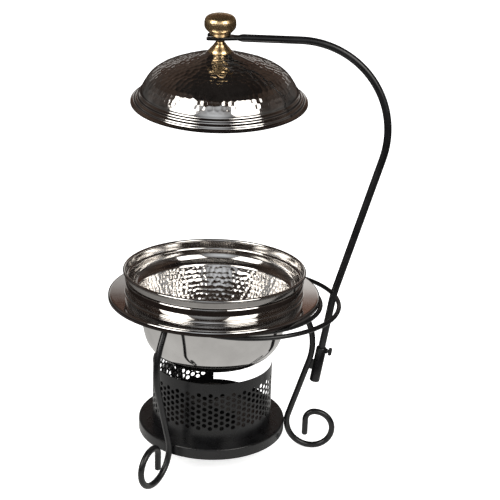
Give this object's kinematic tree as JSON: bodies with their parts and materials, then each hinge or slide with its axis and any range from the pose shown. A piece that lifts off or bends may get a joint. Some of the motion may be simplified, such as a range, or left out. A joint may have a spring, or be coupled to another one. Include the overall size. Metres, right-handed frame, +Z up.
{
  "type": "soup kettle",
  "caption": "Soup kettle: a round pan in a brimmed water bath on a black rod stand, with a domed lid hung from a swivelling pole and a burner in a perforated wind guard.",
  "frame": {"origin": "on the bowl's vertical axis, at floor level between the feet", "axes": "+Z up; +X towards the leg that holds the lid pole"},
  "size_m": [0.4161, 0.3487, 0.6838],
  "materials": {
    "black_powder_coat": "satin",
    "polished_steel": "polished",
    "brass": "polished"
  },
  "bodies": {
    "stand": {"support_ring": "black_powder_coat", "leg_right": "black_powder_coat", "leg_front_left": "black_powder_coat", "leg_back_left": "black_powder_coat", "inner_pole_guide": "black_powder_coat", "outer_pole_guide": "black_powder_coat", "base_plate": "black_powder_coat", "pole_socket": "black_powder_coat", "socket_nut": "black_powder_coat", "wind_guard": "black_powder_coat", "burner_cup": "polished_steel", "burner_top": "polished_steel", "damper_rivet": "polished_steel"},
    "pole": {"hanger_pole": "black_powder_coat", "pole_fork": "black_powder_coat"},
    "lid": {"lid_dome": "polished_steel", "knob_cone": "brass", "knob_cap": "brass", "knob_screw": "polished_steel", "knob_washer": "polished_steel"},
    "water_bath": {"water_pan": "polished_steel", "neck_collar": "polished_steel"},
    "soup_pan": {"food_pan": "polished_steel"},
    "clamp_screw": {"thumb_screw": "black_powder_coat"},
    "damper": {"burner_damper": "polished_steel"}
  },
  "joints": [
    {"name": "pole_swivel", "type": "hinge", "parent": "stand", "child": "pole", "pos_m": [0.1619, 0, 0.122], "axis": [0.1478, 0, 0.989], "range_deg": [-90, 90]},
    {"name": "lid_slide", "type": "slide", "parent": "pole", "child": "lid", "axis": [-1, 0, 0], "range_m": [0, 0.06]},
    {"name": "water_bath_lift", "type": "slide", "parent": "stand", "child": "water_bath", "axis": [0, 0, 1], "range_m": [0, 0.1]},
    {"name": "food_pan_lift", "type": "slide", "parent": "water_bath", "child": "soup_pan", "axis": [0, 0, 1], "range_m": [0, 0.09]},
    {"name": "thumb_screw_turn", "type": "hinge", "parent": "stand", "child": "clamp_screw", "pos_m": [0.18017, 0, 0.16982], "axis": [0.989, 0, -0.1478], "range_deg": [0, 270]},
    {"name": "damper_swing", "type": "hinge", "parent": "stand", "child": "damper", "pos_m": [0, -0.031, 0.0856], "axis": [0, 0, 1], "range_deg": [0, 90]}
  ]
}
